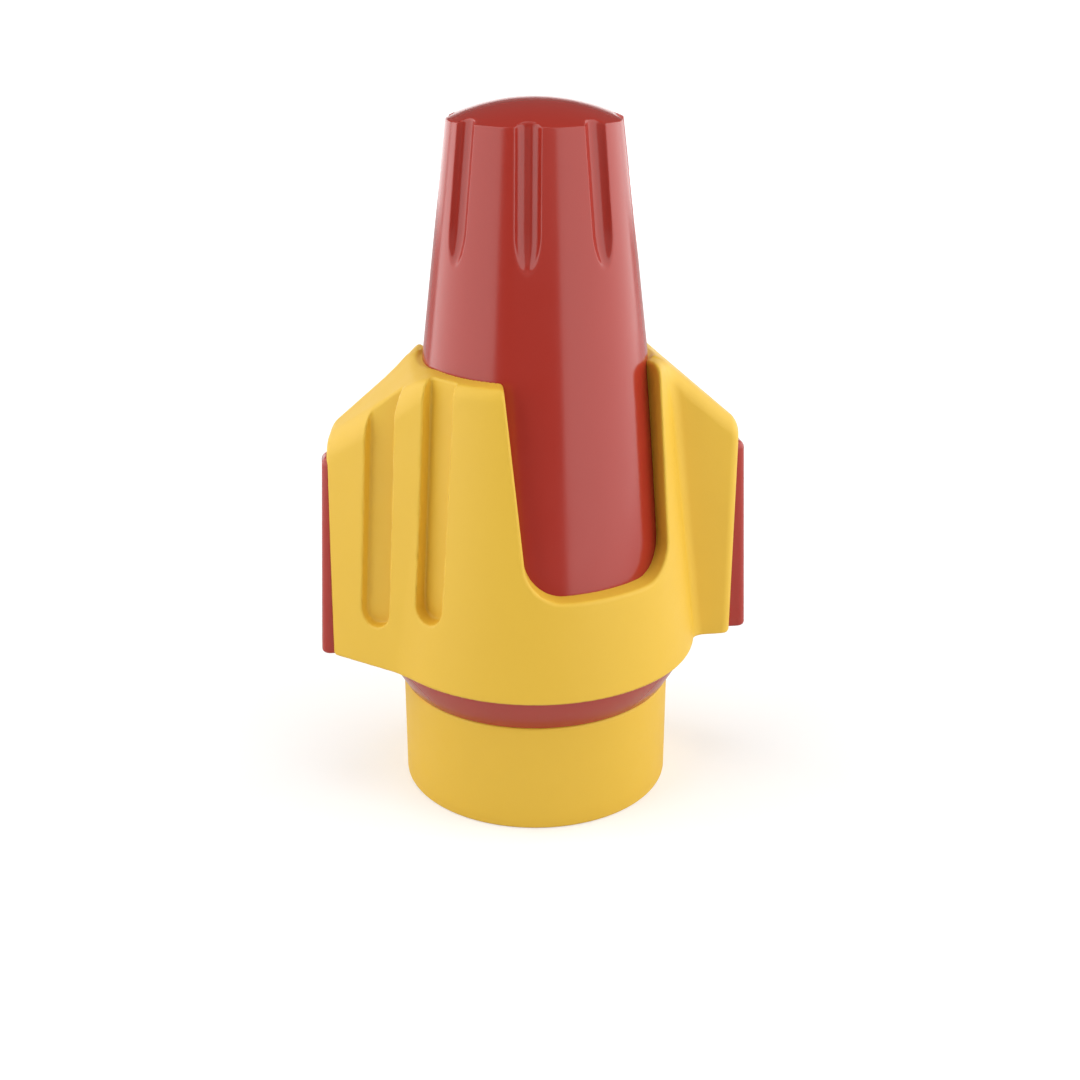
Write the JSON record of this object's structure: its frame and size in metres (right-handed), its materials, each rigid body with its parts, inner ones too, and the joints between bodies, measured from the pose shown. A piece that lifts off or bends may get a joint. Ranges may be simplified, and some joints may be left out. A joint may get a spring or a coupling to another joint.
{
  "type": "twist wire connector",
  "caption": "Winged twist-on wire connector: fluted hard cap, soft two-wing grip cover with side windows, flexible skirt and square-wire conical spring inside.",
  "frame": {"origin": "centre of the skirt's open end, in the plane the connector stands on", "axes": "+Z along the twisting axis from the open end to the closed crown; wings along +X and -X; one of the two windows faces -Y"},
  "size_m": [0.0226, 0.0168, 0.0352],
  "materials": {
    "red_hard_plastic": "satin-gloss moulded thermoplastic, slight mould texture",
    "yellow_elastomer": "satin soft-touch thermoplastic elastomer",
    "zinc_plated_steel": "zinc-plated drawn wire"
  },
  "bodies": {
    "root": {"hard_shell": "red_hard_plastic", "grip_cover": "yellow_elastomer", "flexible_skirt": "yellow_elastomer", "wire_spring": "zinc_plated_steel"}
  },
  "joints": []
}
